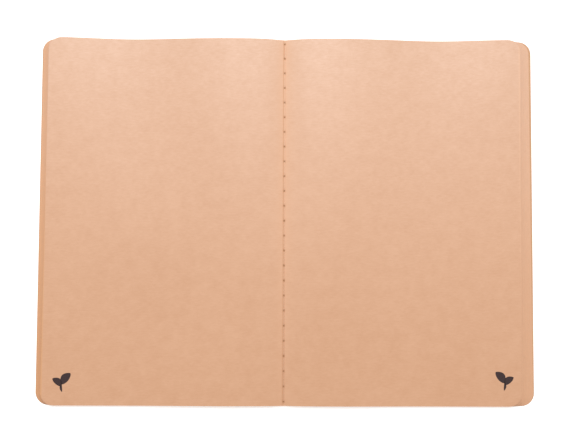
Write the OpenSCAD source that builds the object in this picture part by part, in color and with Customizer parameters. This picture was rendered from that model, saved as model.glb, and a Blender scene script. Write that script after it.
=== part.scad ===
// Pocket notebook, open flat at its middle spread.
// One signature of folded sheets is machine-sewn through the fold into a folded card cover.
// Frame: X across the spread, Y up the pages, Z up from the table. The fold lies on x = 0.

/* [Pages] */
// Width of the front half, from the fold to the cover's fore-edge
front_w = 100.2; // [80:0.1:120]
// Width of the back half, a little wider because the cover is folded off its middle
back_w = 101.8; // [80:0.1:120]
// Height of the pages and of the cover
page_h = 150; // [120:1:180]
// Radius of the rounded outer corners
corner_r = 5.2; // [3:0.1:10]
// Folded sheets in the signature, each giving two leaves
sheet_count = 12; // [8:1:16]
// Thickness of one sheet of paper
paper_t = 0.13; // [0.10:0.01:0.16]
// Air between neighbouring leaves
air_gap = 0.13; // [0.10:0.01:0.20]
// How far the innermost front leaf stops short of the cover's fore-edge
front_creep = 2.6; // [0:0.1:6]
// How far the innermost back leaf stops short of the cover's fore-edge
back_creep = 5.2; // [0:0.1:6]

/* [Cover] */
// Thickness of the cover card
cover_t = 0.35; // [0.25:0.05:0.50]
// Half width of the cover's fold strip
spine_half = 3; // [2:0.5:5]
// Half width of the flat crest in the middle of the fold strip
crest_half = 1.2; // [0.8:0.1:1.8]
// Height of the crest above the table, which makes room for the outer thread
spine_rise = 0.25; // [0.25:0.01:0.35]

/* [Sewing] */
// Stitches along the fold
stitch_count = 24; // [16:1:26]
// Distance from the head of the pages to the first needle hole
head_margin = 2; // [1:0.1:3]
// Distance from the last needle hole to the tail of the pages
tail_margin = 1.6; // [1:0.1:3]
// Width of the pressed thread
thread_w = 0.36; // [0.25:0.01:0.36]
// Height of the pressed thread
thread_h = 0.2; // [0.15:0.01:0.20]
// Width of a needle hole
hole_w = 0.44; // [0.40:0.01:0.50]

/* [Hidden] */
$fn = 96;
clearance = 0.05;                                // between pieces that only lie beside each other
pitch = paper_t + air_gap;                       // from one leaf to the next
first_leaf_z = spine_rise + cover_t + clearance;
stack_top = first_leaf_z + (sheet_count - 1) * pitch + paper_t;
hinge_z = stack_top + air_gap / 2;               // the cover and the top leaves turn about this line
crease_half = 0.4;                               // half width of a sheet's creased strip
leaf_start = crease_half + clearance;
stitch_pitch = (page_h - head_margin - tail_margin) / stitch_count;
lock_z = (spine_rise + cover_t + stack_top) / 2; // where the two threads lock together
leaf_count = 2 * sheet_count;

echo(hinge_z = hinge_z);

// Leaves are numbered as they are read: the first lies on the front cover, the last on the back cover.
function leaf_name(n) = str("leaf_", n < 10 ? "0" : "", n);
function in_front(n) = n <= sheet_count;
function level(n) = in_front(n) ? n : leaf_count + 1 - n;
function leaf_z(n) = first_leaf_z + (level(n) - 1) * pitch;
function leaf_w(n) = (in_front(n) ? front_w : back_w)
    - (in_front(n) ? front_creep : back_creep) * level(n) / sheet_count;
function hole_y(i) = page_h / 2 - head_margin - i * stitch_pitch;

// Outline of a panel right of the fold, from x = inner to x = outer, with round outer corners
module panel_outline(inner, outer) {
    translate([inner, -page_h / 2])
        square([outer - corner_r - inner, page_h]);
    translate([inner, -page_h / 2 + corner_r])
        square([outer - inner, page_h - 2 * corner_r]);
    for (side = [-1, 1])
        translate([outer - corner_r, side * (page_h / 2 - corner_r)])
            circle(corner_r);
}

// One panel of the cover, lying on the table
module cover_panel(width) {
    linear_extrude(cover_t)
        panel_outline(spine_half + clearance, width);
}

module back_cover() {
    color("#C98F5F")
        cover_panel(back_w);
}

module front_cover() {
    color("#C98F5F")
        mirror([1, 0, 0])
            cover_panel(front_w);
}

// Square needle holes, as an outline that is cut from each folded strip
module needle_holes() {
    for (i = [0 : stitch_count])
        translate([0, hole_y(i)])
            square(hole_w, center = true);
}

// The folded strip that joins the cover's two panels, raised in the middle over the outer thread
module cover_spine() {
    lower = [
        [-spine_half, 0], [-crest_half, spine_rise], [crest_half, spine_rise], [spine_half, 0]
    ];
    upper = [for (i = [len(lower) - 1 : -1 : 0]) lower[i] + [0, cover_t]];
    color("#C98F5F")
        difference() {
            rotate([90, 0, 0])
                linear_extrude(page_h, center = true)
                    polygon(concat(lower, upper));
            linear_extrude(first_leaf_z)
                needle_holes();
        }
}

// The creased middle of every sheet, pierced by the needle
module sheet_creases() {
    color("#DDAE86")
        for (n = [1 : sheet_count])
            translate([0, 0, leaf_z(n)])
                linear_extrude(paper_t)
                    difference() {
                        square([2 * crease_half, page_h], center = true);
                        needle_holes();
                    }
}

// One leaf: half of a folded sheet, on either side of the fold
module leaf(n) {
    color(level(n) % 2 == 0 ? "#E3B38B" : "#DDAE86")
        translate([0, 0, leaf_z(n)])
            mirror([in_front(n) ? 1 : 0, 0, 0])
                linear_extrude(paper_t)
                    panel_outline(leaf_start, leaf_w(n));
}

// A thread in the plane of the fold: a run along the holes, and a leg through each hole up to the lock
module thread(run_z, leg_z, leg_h) {
    first_y = hole_y(0) + thread_w / 2;
    last_y = hole_y(stitch_count) - thread_w / 2;
    translate([-thread_w / 2, last_y, run_z])
        cube([thread_w, first_y - last_y, thread_h]);
    for (i = [0 : stitch_count])
        translate([-thread_w / 2, hole_y(i) - thread_w / 2, leg_z])
            cube([thread_w, thread_w, leg_h]);
}

// The thread inside the fold, seen on the middle spread
module needle_thread() {
    run_z = stack_top + clearance / 2;
    color("#E9C9A4")
        thread(run_z, lock_z, run_z - lock_z);
}

// The thread on the outside of the cover's fold
module bobbin_thread() {
    run_z = clearance / 2;
    color("#E9C9A4")
        thread(run_z, run_z, lock_z - run_z);
}

back_cover();
front_cover();
cover_spine();
sheet_creases();
needle_thread();
bobbin_thread();
for (n = [1 : leaf_count])
    leaf(n);
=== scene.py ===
"""Pocket notebook, open flat at its middle spread: the looks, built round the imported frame.
X runs across the spread, Y up the pages to their head and Z up from the table. The fold is on x = 0."""

import math

import bpy
import numpy as np
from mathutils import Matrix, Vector


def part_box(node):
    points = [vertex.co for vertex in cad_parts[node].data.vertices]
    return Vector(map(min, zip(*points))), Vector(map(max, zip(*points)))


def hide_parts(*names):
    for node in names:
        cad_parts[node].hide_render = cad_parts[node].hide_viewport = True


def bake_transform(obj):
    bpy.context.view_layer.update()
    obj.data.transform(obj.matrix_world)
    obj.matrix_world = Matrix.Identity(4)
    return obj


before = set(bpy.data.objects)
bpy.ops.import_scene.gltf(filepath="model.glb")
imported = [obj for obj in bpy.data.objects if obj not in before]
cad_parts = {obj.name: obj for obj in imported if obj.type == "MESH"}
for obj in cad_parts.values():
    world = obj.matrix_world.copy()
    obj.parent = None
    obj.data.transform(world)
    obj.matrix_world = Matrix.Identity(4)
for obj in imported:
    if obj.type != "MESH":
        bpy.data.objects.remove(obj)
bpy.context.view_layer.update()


# ======================================================================================================
# Cover
# The real cover is one sheet of brown kraft card, cut with round corners and creased along its middle.
# It lies face down under the sheets, and its crease stands a little off the table over the outer thread.

MM = 0.001
front_w = -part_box("front_cover")[0].x
back_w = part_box("back_cover")[1].x
page_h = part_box("back_cover")[1].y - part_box("back_cover")[0].y
cover_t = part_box("back_cover")[1].z
crease_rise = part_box("cover_spine")[1].z - cover_t
crest_half = 1.2 * MM    # half the width of the crease's flat top
crease_half = 3 * MM     # from the fold to where the card lies flat on the table
corner_r = 5.2 * MM
column_gap = 0.11 * MM   # between the lines of points beside the fold
near_columns = 36        # how many lines of points are that far apart on a side, the fold's own included
outer_columns = 31       # how many more there are out to the edge
row_span = 70            # the evenly spaced rows of points end this far from mid-page, in millimetres
bend_half = 15 * column_gap  # width of the strip on each side of the fold that bends as the notebook closes


def smooth(t):
    """Rises from 0 to 1 as t goes from 0 to 1, level at both ends: t squared times (3 - 2 t)."""
    t = np.clip(t, 0, 1)
    return t * t * (3 - 2 * t)


def row_heights(middle):
    """y of each row of points: the given rows, and sines of even angles round the corners at both ends."""
    arc = page_h / 2 - corner_r + corner_r * np.sin(np.linspace(0, math.pi / 2, 10))
    inside = middle[np.abs(middle) < page_h / 2 - 0.1 * MM]
    rows = np.sort(np.concatenate([-arc, inside, arc]))
    return rows[np.diff(rows, prepend=-1) > 0.05 * MM]


def reach(y, width):
    """How far a side goes from the fold at height y: its width, less the inset of the corner's circle."""
    over = np.clip(np.abs(y) - (page_h / 2 - corner_r), 0, corner_r)
    return width - corner_r + np.sqrt(corner_r**2 - over**2)


def across(left, right):
    """x of every point of a spread: even small steps beside the fold, and beyond them the 1.4th powers of
    even fractions of the way to each row's reach."""
    near = np.arange(near_columns) * column_gap
    share = np.linspace(0, 1, outer_columns + 1)[1:] ** 1.4
    sides = []
    for width in (left, right):
        inner = np.broadcast_to(near, (len(width), len(near)))
        outer = near[-1] + (width[:, None] - near[-1]) * share
        sides.append(np.concatenate([inner, outer], axis=1))
    return np.concatenate([-sides[0][:, :0:-1], sides[1]], axis=1)


def slab(x, y, z, thickness, face_slot=0, rim_slot=1):
    """A thin closed solid: the grid (x, y, z) on top, the same grid one thickness lower, and a wall round
    the rim. Gives its points, its quads and each quad's material slot."""
    rows, columns = x.shape
    top = np.stack([x, y, z], axis=-1).reshape(-1, 3)
    points = np.concatenate([top, top - [0, 0, thickness]])
    grid = np.arange(rows * columns).reshape(rows, columns)
    a, b, c, d = (g.ravel() for g in (grid[:-1, :-1], grid[:-1, 1:], grid[1:, 1:], grid[1:, :-1]))
    lower = len(top)
    rim = np.concatenate([grid[0, :-1], grid[:-1, -1], grid[-1, :0:-1], grid[:0:-1, 0]])
    after = np.roll(rim, -1)
    faces = [
        np.stack([a, b, c, d], axis=1),
        np.stack([a, d, c, b], axis=1) + lower,
        np.stack([rim + lower, after + lower, after, rim], axis=1),
    ]
    slots = np.repeat([face_slot, rim_slot], [2 * len(a), len(rim)])
    return points, np.concatenate(faces), slots


def build(name, parts, materials, grain_shift=(0, 0)):
    """One mesh object from parts of (points, quads, slots). Its map "place" holds each point's x and y at
    rest in millimetres, so that a pattern stays on the paper as it bends. "grain" is the same, shifted."""
    starts = np.cumsum([0] + [len(part[0]) for part in parts])
    points = np.concatenate([part[0] for part in parts])
    quads = np.concatenate([part[1] + start for part, start in zip(parts, starts)])
    slots = np.concatenate([part[2] for part in parts])
    mesh = bpy.data.meshes.new(name)
    mesh.from_pydata(points, [], quads)
    mesh.polygons.foreach_set("material_index", slots.astype(np.int32))
    for map_name, shift in (("place", (0, 0)), ("grain", grain_shift)):
        flat = points[quads.ravel(), :2] / MM + shift
        mesh.uv_layers.new(name=map_name).data.foreach_set("uv", flat.astype(np.float32).ravel())
    mesh.shade_smooth()
    mesh.set_sharp_from_angle(angle=math.radians(40))
    for material in materials:
        mesh.materials.append(material)
    piece = bpy.data.objects.new(name, mesh)
    bpy.context.scene.collection.objects.link(piece)
    return piece


def bend_at_fold(piece):
    """Bakes the piece's placing into its points, and leaves it where it is."""
    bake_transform(piece)


class Shade:
    """A socket in a material. + - and * on it add Math nodes, and node() adds any other kind."""

    def __init__(self, tree, socket=None):
        self.tree, self.socket = tree, socket

    def node(self, kind, settings, inputs, output=0):
        """Adds a node: its settings first, then the value or the link of each of its sockets."""
        made = self.tree.nodes.new(kind)
        for key, value in settings.items():
            setattr(made, key, value)
        for key, value in inputs.items():
            if isinstance(value, Shade):
                self.tree.links.new(value.socket, made.inputs[key])
            else:
                made.inputs[key].default_value = value
        return Shade(self.tree, made.outputs[output])

    def math(self, operation, *values):
        return self.node("ShaderNodeMath", {"operation": operation}, dict(enumerate(values)))

    def uv(self, name):
        return self.node("ShaderNodeUVMap", {"uv_map": name}, {})

    def mix(self, factor, first, second):
        """The colour first where factor is 0, and second where it is 1."""
        return self.node("ShaderNodeMix", {"data_type": "RGBA"}, {0: factor, 6: first, 7: second}, 2)

    def noise(self, stretch, seed, detail=3.0, roughness=0.55):
        """Noise about 0, mostly between -0.25 and 0.25, at this vector times stretch."""
        where = self.node("ShaderNodeVectorMath", {"operation": "MULTIPLY"}, {0: self, 1: stretch})
        fields = {"Vector": where, "W": seed, "Scale": 1.0, "Detail": detail, "Roughness": roughness}
        return self.node("ShaderNodeTexNoise", {"noise_dimensions": "4D"}, fields) - 0.5

    def bump(self, height, distance):
        return self.node("ShaderNodeBump", {}, {"Strength": 1.0, "Distance": distance, "Height": height})

    def __add__(self, other):
        return self.math("ADD", self, other)

    def __radd__(self, other):
        return self.math("ADD", other, self)

    def __sub__(self, other):
        return self.math("SUBTRACT", self, other)

    def __rsub__(self, other):
        return self.math("SUBTRACT", other, self)

    def __mul__(self, other):
        return self.math("MULTIPLY", self, other)

    def __rmul__(self, other):
        return self.math("MULTIPLY", other, self)


def new_material(name, specular):
    """A material with a plain shader of that specular level. Gives it, its tree and its shader."""
    material = bpy.data.materials.new(name)
    material.use_nodes = True
    shader = material.node_tree.nodes["Principled BSDF"]
    shader.inputs["Specular IOR Level"].default_value = specular
    return material, Shade(material.node_tree), shader


def connect(shader, **sockets):
    """Links or sets the shader's sockets: base_color feeds Base Color, and so on."""
    for name, value in sockets.items():
        socket = shader.inputs[name.replace("_", " ").title()]
        if isinstance(value, Shade):
            value.tree.links.new(value.socket, socket)
        else:
            socket.default_value = value


def cover_card():
    """Kraft card: long fibres lying at random, darker flecks, slow changes of tone and a toothy surface."""
    material, shade, shader = new_material("kraft cover card", 0.3)
    flat = shade.uv("grain")
    tone = flat.noise((1 / 38, 1 / 30, 1), 11.0)
    along = flat.noise((2.2, 0.5, 1), 12.0, 4.0, 0.65)
    aside = flat.noise((0.4, 2.0, 1), 13.0, 4.0, 0.65)
    fleck = shade.math("MAXIMUM", flat.noise((1.1, 2.4, 1), 14.0, 1.0) - 0.19, 0.0)
    depth = 0.5 + tone * 0.7 + along * 0.8 + aside * 0.8
    colour = shade.mix(depth, (0.66, 0.385, 0.225, 1), (0.50, 0.275, 0.15, 1))
    colour = shade.mix(fleck * 5, colour, (0.24, 0.12, 0.06, 1))
    bump = shade.bump(along + aside, 0.05 * MM)
    connect(shader, base_color=colour, roughness=0.78 + along * 0.2, normal=bump)
    return material


def card_edge():
    """The cut edge of the card, more saturated than its face, with paler and darker fibre ends."""
    material, shade, shader = new_material("cut edge of the card", 0.2)
    ends = shade.uv("grain").noise((3.1, 3.1, 1), 15.0, 3.0)
    colour = shade.mix(0.5 + ends * 1.4, (0.70, 0.36, 0.18, 1), (0.54, 0.25, 0.11, 1))
    connect(shader, base_color=colour, roughness=0.85)
    return material


def cover_top(x):
    """Height of the card's upper side: its thickness, and a flat-topped ridge along the crease."""
    return cover_t + crease_rise * (1 - smooth((np.abs(x) - crest_half) / (crease_half - crest_half)))


cover_skew = 0.5 * MM  # how much further the back's side goes at the head than at the tail
cover_y = row_heights(np.linspace(-row_span, row_span, 36) * MM)
cover_x = across(reach(cover_y, front_w), reach(cover_y, back_w) + cover_skew * (0.5 + cover_y / page_h))
cover_rows = np.broadcast_to(cover_y[:, None], cover_x.shape)
cover_slab = slab(cover_x, cover_rows, cover_top(cover_x), cover_t)
cover = build("cover", [cover_slab], [cover_card(), card_edge()])
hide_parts("front_cover", "back_cover", "cover_spine")
bend_at_fold(cover)


# ======================================================================================================
# Folded sheets
# Eleven sheets of plain kraft text paper, nested one in the next, creased together and trimmed in one cut.
# Each lies a little higher than the last, and leaves a narrow step of the one below showing at each side.

leaf_names = sorted(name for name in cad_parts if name.startswith("leaf_"))
sheet_count = len(leaf_names) // 2
paper_t = 0.095 * MM
card_clearance = 0.03 * MM
grain_step = np.array([230, 90])  # millimetres by which each sheet's grain is shifted from the last one's
fold_top = 2.0           # height of the open pages in the fold, in millimetres
lift_start = 60 * MM     # from the fold to where the sides begin to lift
lift_width = 38 * MM     # from there to where they are at their highest
fore_edge_lean = 0.45 * MM  # how far the top sheet's sides lean right at the head, and left at the tail
left_creep = 0.35 * MM   # how much of its left side the top sheet has lost to the fold
head_draw = 0.32 * MM    # how far the top sheet's head is drawn in
stitch_count = 24
first_hole_y = page_h / 2 - 2 * MM
last_hole_y = -page_h / 2 + 1.6 * MM
stitch_pitch = (first_hole_y - last_hole_y) / stitch_count
pit_depth = 0.16 * MM    # of the paper at a needle hole
pit_r = 0.45 * MM


def spread_height(x, y):
    """Height of the open pages: an exponential rise out of the crease, a broad sag in mid-page and a lift
    at the sides, both stronger at the head, and a slight cockle made of two crossed sines."""
    far = np.abs(x) / MM
    head = y / (page_h / 2)
    rise = 2.15 * (1 - np.exp(-far / 5.5))
    sag = (1.65 + 0.5 * head) * smooth((far - 22) / 38)
    lift = (0.8 + 1.1 * head + 0.4 * head**2) * smooth((np.abs(x) - lift_start) / lift_width)
    cockle = 0.05 * np.sin(x / (13 * MM) + 2.1 * head) * np.sin(6.1 * head - x / (37 * MM))
    return (fold_top + rise - sag + lift + cockle * smooth(far / 40)) * MM


def hole_offset(y):
    """How far y is from the nearest needle hole."""
    stitch = (first_hole_y - y) / stitch_pitch
    return (stitch - np.clip(np.round(stitch), 0, stitch_count)) * stitch_pitch


def sheet_top(level, x, y):
    """Height of a sheet's upper side: its share of the way from the cover to the open pages. Sheets are
    evenly spaced in mid-page. At the sides the share goes over to a mean of level and level squared, so
    that the upper sheets fan out, and a small sine of the level makes their spacing uneven. A bell-shaped
    pit is pulled in at each needle hole."""
    wander = 0.3 * math.sin(2.4 * level) * (level < sheet_count)
    fanned = 0.5 * level / sheet_count + 0.5 * ((level + wander) / sheet_count) ** 2
    side = smooth((np.abs(x) - lift_start) / lift_width)
    share = level / sheet_count * (1 - side) + fanned * side
    pit = pit_depth * np.exp(-(x**2 + hole_offset(y) ** 2) / pit_r**2)
    floor = cover_top(x) + card_clearance
    return floor + share * (spread_height(x, y) - pit - floor)


def sheet_grid(level, middle_rows):
    """x and y of a sheet's points. Each side goes as far as its leaf, and leans a little from tail to head.
    Two bells, at the fold and in mid-page, draw the head's edge in where the paper dips."""
    y = row_heights(middle_rows)
    lean = fore_edge_lean * level / sheet_count * y / (page_h / 2)
    left_w = -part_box(leaf_names[level - 1])[0].x - left_creep * level / sheet_count
    right_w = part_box(leaf_names[-level])[1].x
    x = across(reach(y, left_w) - lean, reach(y, right_w) + lean)
    far = np.abs(x) / MM
    bells = np.exp(-((far / 8) ** 2)) + np.exp(-(((far - 66) / 18) ** 2))
    drawn = head_draw * level / sheet_count * bells
    return x, y[:, None] - drawn * smooth(y[:, None] / (page_h / 2))


# The seedling printed at the foot of every page: root, tip, breadth and bow of each of its three blades,
# in millimetres from its middle.
SEEDLING = [
    ((0.3, -3.9), (0.0, -0.4), 1.0, 0.3),
    ((0.0, -0.9), (3.6, 3.6), 3.3, 0.5),
    ((0.0, -1.6), (-3.6, 1.5), 2.7, -0.5),
]
mark_from_fold = 89.3 * MM
mark_from_tail = 9.8 * MM
mark_slant = 0.5 * MM    # the print is out of square: the right mark is higher by this, the left one lower
ink_t = 0.015 * MM


def blade(root, tip, breadth, bow):
    """A leaf shape: s runs along a line from root to tip that bows by a sine, and t from edge to edge. The
    half width is the 0.7th power of the sine of a half turn times s. Gives u and v in millimetres."""
    s, t = np.meshgrid(np.linspace(0.01, 0.99, 17), np.linspace(-1, 1, 5))
    root, tip = np.array(root), np.array(tip)
    along = (tip - root) / np.linalg.norm(tip - root)
    arch = np.sin(math.pi * s)
    offset = bow * arch + t * breadth / 2 * arch**0.7
    u = root[0] + s * (tip - root)[0] - offset * along[1]
    v = root[1] + s * (tip - root)[1] + offset * along[0]
    return u, v


def page_marks(level, sides=(-1, 1)):
    """The printed seedlings of a sheet, mirrored on facing pages, as films of ink that follow the paper,
    one film on its upper face and one on its lower face."""
    parts = []
    for side in sides:
        for shape in SEEDLING:
            u, v = blade(*shape)
            x = side * (mark_from_fold - u * MM)
            y = v * MM - page_h / 2 + mark_from_tail + side * mark_slant
            if side > 0:
                x, y = x[:, ::-1], y[:, ::-1]
            paper = sheet_top(level, x, y)
            parts.append(slab(x, y, paper + ink_t, ink_t * 1.5, 2, 2))
            parts.append(slab(x, y, paper - paper_t + ink_t / 2, ink_t * 1.5, 2, 2))
    return parts


# Places on the paper, in millimetres from the fold or from the middle of a hole
right_steps_from = 96.2
left_steps_from = 96.9
thread_shadow_from_fold = 0.45
hole_shade_r = 0.85


def kraft_paper():
    """Kraft paper with a slight glaze: cloudy, with short fibres lying mostly across the page, and a few
    flecks. Its colour is painted paler towards the head, painted light of the lamps beyond the head, and
    paler still along the fold, painted light. Beside the middle of the fold runs a painted shadow line of
    the thread, and each needle hole is a dark spot of painted shade. The steps that stick out at the sides
    are painted paler on the right, painted light, and darker and more orange on the left, painted shade."""
    material, shade, shader = new_material("kraft text paper", 0.5)
    flat = shade.uv("grain")
    slow = flat.noise((1 / 40, 1 / 55, 1), 21.0, 2.0)
    cloud = flat.noise((1 / 6, 1 / 4.5, 1), 22.0, 3.0, 0.6)
    fibre = flat.noise((0.45, 1.8, 1), 23.0, 3.0, 0.65)
    tooth = flat.noise((2.6, 4.0, 1), 24.0, 2.0)
    fleck = shade.math("MAXIMUM", flat.noise((0.9, 1.6, 1), 25.0, 1.0) - 0.24, 0.0)
    place = shade.uv("place")
    x = shade.node("ShaderNodeSeparateXYZ", {}, {0: place}, 0)
    y = shade.node("ShaderNodeSeparateXYZ", {}, {0: place}, 1)
    tail = 0.5 - y * (MM / page_h)
    # Painted light: the paper's colour below goes paler towards the head, standing in for the lamps beyond
    # the head.
    tone = 1 - shade.math("POWER", 1 - tail, 4.0)
    pale = shade.mix(tone, (0.68, 0.413, 0.275, 1), (0.643, 0.357, 0.211, 1))
    deep = shade.mix(tone, (0.615, 0.349, 0.212, 1), (0.583, 0.306, 0.169, 1))
    colour = shade.mix(0.5 + slow * 0.8 + cloud * 1.5 + fibre * 1.9 + tooth * 1.0, pale, deep)
    # Painted light: the steps at the right side are painted paler, lifting the shade between them.
    painted_step_light = shade.math("MINIMUM", shade.math("MAXIMUM", (x - right_steps_from) * 2.0, 0.0), 0.4)
    colour = shade.mix(painted_step_light, colour, (0.72, 0.41, 0.24, 1))
    # Painted shade: the steps at the left side are painted darker and more orange, for the shade between
    # them.
    painted_step_shade = shade.math("MINIMUM", shade.math("MAXIMUM", (x + left_steps_from) * -1.6, 0.0), 0.8)
    colour = shade.mix(painted_step_shade, colour, (0.65, 0.33, 0.155, 1))
    colour = shade.mix(fleck * 3, colour, (0.42, 0.22, 0.12, 1))
    # Painted light: the paper is painted paler along the fold, most at the head, lifting the shade of the
    # valley.
    painted_fold_light = shade.math("POWER", 0.6, shade.math("ABSOLUTE", x))
    colour = shade.mix(painted_fold_light * (0.75 - tail * tail * 0.55), colour, (0.84, 0.51, 0.335, 1))
    # Painted shadow: a dark line beside the middle of the fold, where the thread's shadow falls.
    from_line = shade.math("ABSOLUTE", x + thread_shadow_from_fold + flat.noise((0, 0.3, 1), 26.0) * 0.4)
    painted_thread_shadow = shade.math("POWER", 0.01, from_line)
    colour = shade.mix(painted_thread_shadow * 0.5, colour, (0.50, 0.24, 0.11, 1))
    # Painted shade: a dark spot with an uneven outline at each needle hole, for the shade inside the hole.
    stitch = (y - last_hole_y / MM) * (MM / stitch_pitch)
    beside = (stitch - shade.math("ROUND", stitch)) * (stitch_pitch / MM)
    hole_shade_outline_noise = flat.noise((2.2, 2.2, 1), 27.0, 2.0) * 0.55
    distance = shade.math("SQRT", x * x * 3.2 + beside * beside) + hole_shade_outline_noise
    hole = shade.math("MINIMUM", shade.math("MAXIMUM", (hole_shade_r - distance) * 2.2, 0.0), 0.8)
    colour = shade.mix(hole, colour, (0.34, 0.155, 0.065, 1))
    bump = shade.bump(fibre + tooth * 0.5 + cloud * 0.8, 0.018 * MM)
    connect(shader, base_color=colour, roughness=0.38 + fibre * 0.15, normal=bump)
    return material


def paper_edge():
    """The cut edge of the paper, a little deeper in colour than its face."""
    material, shade, shader = new_material("cut edge of the paper", 0.2)
    ends = shade.uv("grain").noise((2.3, 2.3, 1), 31.0, 3.0)
    colour = shade.mix(0.5 + ends * 1.4, (0.76, 0.43, 0.21, 1), (0.64, 0.32, 0.13, 1))
    connect(shader, base_color=colour, roughness=0.85)
    return material


def seedling_ink():
    """Dark brown ink, thinner where the paper's fibres took less of it."""
    material, shade, shader = new_material("dark brown ink", 0.3)
    thin = shade.math("MAXIMUM", shade.uv("grain").noise((2.5, 4, 1), 35.0) + 0.02, 0.0)
    colour = shade.mix(thin * 2.2, (0.032, 0.015, 0.016, 1), (0.12, 0.058, 0.045, 1))
    connect(shader, base_color=colour, roughness=0.6)
    return material


paper_finishes = [kraft_paper(), paper_edge(), seedling_ink()]

for level in range(1, sheet_count):
    sheet_x, sheet_y = sheet_grid(level, np.linspace(-row_span, row_span, 57) * MM)
    sheet = build(
        f"sheet_{level:02d}",
        [slab(sheet_x, sheet_y, sheet_top(level, sheet_x, sheet_y), paper_t)] + page_marks(level),
        paper_finishes,
        grain_shift=grain_step * level,
    )
    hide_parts(leaf_names[level - 1], leaf_names[-level], "sheet_creases")
    bend_at_fold(sheet)


# ======================================================================================================
# Middle sheet
# The twelfth sheet is the open spread. Either of its leaves turns over on its own, so it is made as the
# creased strip with the needle holes, which stays with the fold, and a leaf on each side of the strip.

# The rows of points of one stitch lie closest together beside its needle hole
stitch_share = np.linspace(-0.5, 0.5, 11)[1:]
stitch_rows = 2 * stitch_share * np.abs(stitch_share) * stitch_pitch
hole_rows = first_hole_y - stitch_pitch * np.arange(stitch_count + 1)
middle_x, middle_y = sheet_grid(sheet_count, (hole_rows[:, None] + stitch_rows).ravel())
middle_z = sheet_top(sheet_count, middle_x, middle_y)
fold_column = int(np.argmin(np.abs(middle_x[0])))
strip = round(bend_half / column_gap)  # columns of points on each side of the fold in the creased strip


def middle_part(name, columns, marks):
    """The part of the middle sheet between two of its columns."""
    body = slab(middle_x[:, columns], middle_y[:, columns], middle_z[:, columns], paper_t)
    piece = build(name, [body] + marks, paper_finishes, grain_shift=grain_step * sheet_count)
    return piece


left_end = fold_column - strip
right_end = fold_column + strip
crease = middle_part("middle_sheet_crease", slice(left_end, right_end + 1), [])
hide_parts("sheet_creases")
bend_at_fold(crease)

left_leaf = middle_part("middle_leaf_left", slice(0, left_end + 1), page_marks(sheet_count, (-1,)))
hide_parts(leaf_names[sheet_count - 1])
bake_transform(left_leaf)

right_leaf = middle_part("middle_leaf_right", slice(right_end, None), page_marks(sheet_count, (1,)))
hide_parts(leaf_names[sheet_count])
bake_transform(right_leaf)


# ======================================================================================================
# Needle thread
# Three-ply spun polyester, sewn along the inside of the fold. It dips into every hole to lock with the
# bobbin thread half way through the sheets, and its first stitch at the head is a little loose.

thread_r = 0.2 * MM
hole_half = 0.4 * MM  # from the middle of a hole to each of the two strands that pass through it
fold_z = sheet_top(sheet_count, np.array([0.0]), np.array([stitch_pitch / 2]))[0]
lock_z = (cover_t + crease_rise + fold_z) / 2


def stitched_path(run_z, bow=0, lift=0):
    """The way of one thread: along the fold at run_z, and at each hole to the lock and back. A moving
    average rounds its corners. In the first stitch a sine pushes it aside by bow and up by lift."""
    strands = np.array([hole_half, hole_half, -hole_half, -hole_half])
    corners_y = (hole_rows[:, None] + strands).ravel()
    corners_z = np.tile([run_z, lock_z, lock_z, run_z], len(hole_rows))
    way = np.concatenate([[0], np.cumsum(np.hypot(np.diff(corners_y), np.diff(corners_z)))])
    even = np.linspace(0, way[-1], round(way[-1] / (0.1 * MM)))
    y = np.interp(even, way, corners_y)
    z = np.interp(even, way, corners_z)
    y, z = (np.convolve(np.pad(values, 3, "edge"), np.ones(7) / 7, "valid") for values in (y, z))
    slack = np.sin(math.pi * np.clip((first_hole_y - y) / stitch_pitch, 0, 1))
    return np.stack([bow * slack, y, z + lift * slack], axis=1)


def twisted_thread(path, sides=12):
    """A ring carried along the path. Its radius is a cosine of three times the angle, which turns with the
    way gone, for three plies. Both ends are closed. Gives points, quads and slots."""
    tangent = np.gradient(path, axis=0)
    tangent /= np.linalg.norm(tangent, axis=1, keepdims=True)
    aside = np.array([1.0, 0, 0]) - tangent[:, :1] * tangent
    aside /= np.linalg.norm(aside, axis=1, keepdims=True)
    up = np.cross(tangent, aside)
    way = np.concatenate([[0], np.cumsum(np.linalg.norm(np.diff(path, axis=0), axis=1))])
    angle = np.linspace(0, 2 * math.pi, sides, endpoint=False)
    radius = thread_r * (0.88 + 0.13 * np.cos(3 * angle - way[:, None] / (0.2 * MM)))
    ring = np.cos(angle)[:, None] * aside[:, None] + np.sin(angle)[:, None] * up[:, None]
    points = (path[:, None] + radius[..., None] * ring).reshape(-1, 3)
    index = np.arange(len(points)).reshape(len(path), sides)
    here, there = index[:-1], index[1:]
    wall = np.stack([here, np.roll(here, -1, 1), np.roll(there, -1, 1), there], axis=-1).reshape(-1, 4)
    i = np.arange(sides // 2 - 1)
    end = np.stack([sides - 1 - i, i, i + 1, sides - 2 - i], axis=1)
    quads = np.concatenate([wall, end[:, ::-1], end + index[-1, 0]])
    return points, quads, np.zeros(len(quads), int)


def spun_thread():
    """Spun thread, a shade lighter than the paper, hairy and slightly glossy. Its colour is painted paler
    towards the head, painted light of the lamps beyond the head.
    """
    material, shade, shader = new_material("sewing thread", 0.4)
    hairs = shade.uv("grain").noise((5, 2.2, 1), 41.0, 3.0)
    # Painted light: the thread's colour goes paler towards the head, where the lamps are.
    tail = 0.5 - shade.node("ShaderNodeSeparateXYZ", {}, {0: shade.uv("place")}, 1) * (MM / page_h)
    pale = shade.mix(tail, (0.90, 0.61, 0.43, 1), (0.68, 0.40, 0.25, 1))
    deep = shade.mix(tail, (0.76, 0.48, 0.31, 1), (0.56, 0.30, 0.17, 1))
    colour = shade.mix(0.5 + hairs * 1.5, pale, deep)
    connect(shader, base_color=colour, roughness=0.6 + hairs * 0.2)
    return material


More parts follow.
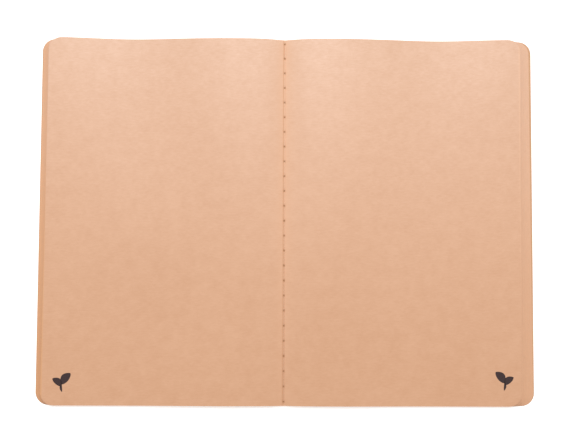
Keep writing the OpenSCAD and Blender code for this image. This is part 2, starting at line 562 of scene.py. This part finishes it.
thread_finish = spun_thread()
needle_path = stitched_path(fold_z + 0.8 * thread_r, bow=0.2 * MM, lift=0.15 * MM)
needle_thread = build("needle_thread_in_fold", [twisted_thread(needle_path)], [thread_finish])
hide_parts("needle_thread")
bend_at_fold(needle_thread)


# ======================================================================================================
# Bobbin thread
# The second thread of the seam, of the same make. It runs along the outside of the cover's crease, and
# rises into every hole.

bobbin_path = stitched_path(thread_r)
bobbin_thread = build("bobbin_thread_on_spine", [twisted_thread(bobbin_path)], [thread_finish])
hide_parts("bobbin_thread")
bend_at_fold(bobbin_thread)


# ======================================================================================================
# Studio
# A plain white table, an even white surround, and three soft lamps above, beyond the head of the pages. The
# camera is almost straight above and leans slightly towards the head.

table_half = 4.0
table_z = -0.02 * MM     # just clear of the cover and the outer thread
corner_signs = [(-1, -1), (1, -1), (1, 1), (-1, 1)]
corners = [(table_half * x_sign, table_half * y_sign, table_z) for x_sign, y_sign in corner_signs]
table_mesh = bpy.data.meshes.new("table")
table_mesh.from_pydata(corners, [], [(0, 1, 2, 3)])
table = bpy.data.objects.new("table", table_mesh)
bpy.context.scene.collection.objects.link(table)
table_white, _, table_shader = new_material("white table top", 0.1)
connect(table_shader, base_color=(0.92, 0.92, 0.92, 1), roughness=0.9, emission_strength=0.4)
connect(table_shader, emission_color=(1, 1, 1, 1))
table_mesh.materials.append(table_white)

# place, size and power of each lamp
lamps = {
    "head_lamp": ((0, 0.31, 0.85), 0.3, 2.9),
    "left_lamp": ((-0.34, 0.2, 0.85), 0.25, 1.3),
    "right_lamp": ((0.34, 0.2, 0.85), 0.25, 1.3),
}
for lamp_name, (place, size, power) in lamps.items():
    lamp_data = bpy.data.lights.new(lamp_name, "AREA")
    lamp_data.size = size
    lamp_data.energy = power
    lamp_data.color = (0.97, 0.99, 1.0)
    lamp = bpy.data.objects.new(lamp_name, lamp_data)
    lamp.location = place
    lamp.rotation_euler = Vector(place).to_track_quat("Z", "Y").to_euler()
    bpy.context.scene.collection.objects.link(lamp)

surround = bpy.data.worlds.new("surround")
surround.use_nodes = True
surround.node_tree.nodes["Background"].inputs["Color"].default_value = (1, 0.99, 0.975, 1)
surround.node_tree.nodes["Background"].inputs["Strength"].default_value = 0.6
bpy.context.scene.world = surround
bpy.context.scene.view_settings.view_transform = "Standard"

camera_data = bpy.data.cameras.new("camera")
camera_data.sensor_width = 36
camera_data.lens = 62.5
camera = bpy.data.objects.new("camera", camera_data)
camera.location = (-4.13 * MM, -29.32 * MM, 405.25 * MM)
camera.rotation_mode = "ZYX"
camera.rotation_euler = (math.radians(4.091), math.radians(-0.633), math.radians(0.272))
bpy.context.scene.collection.objects.link(camera)
bpy.context.scene.camera = camera
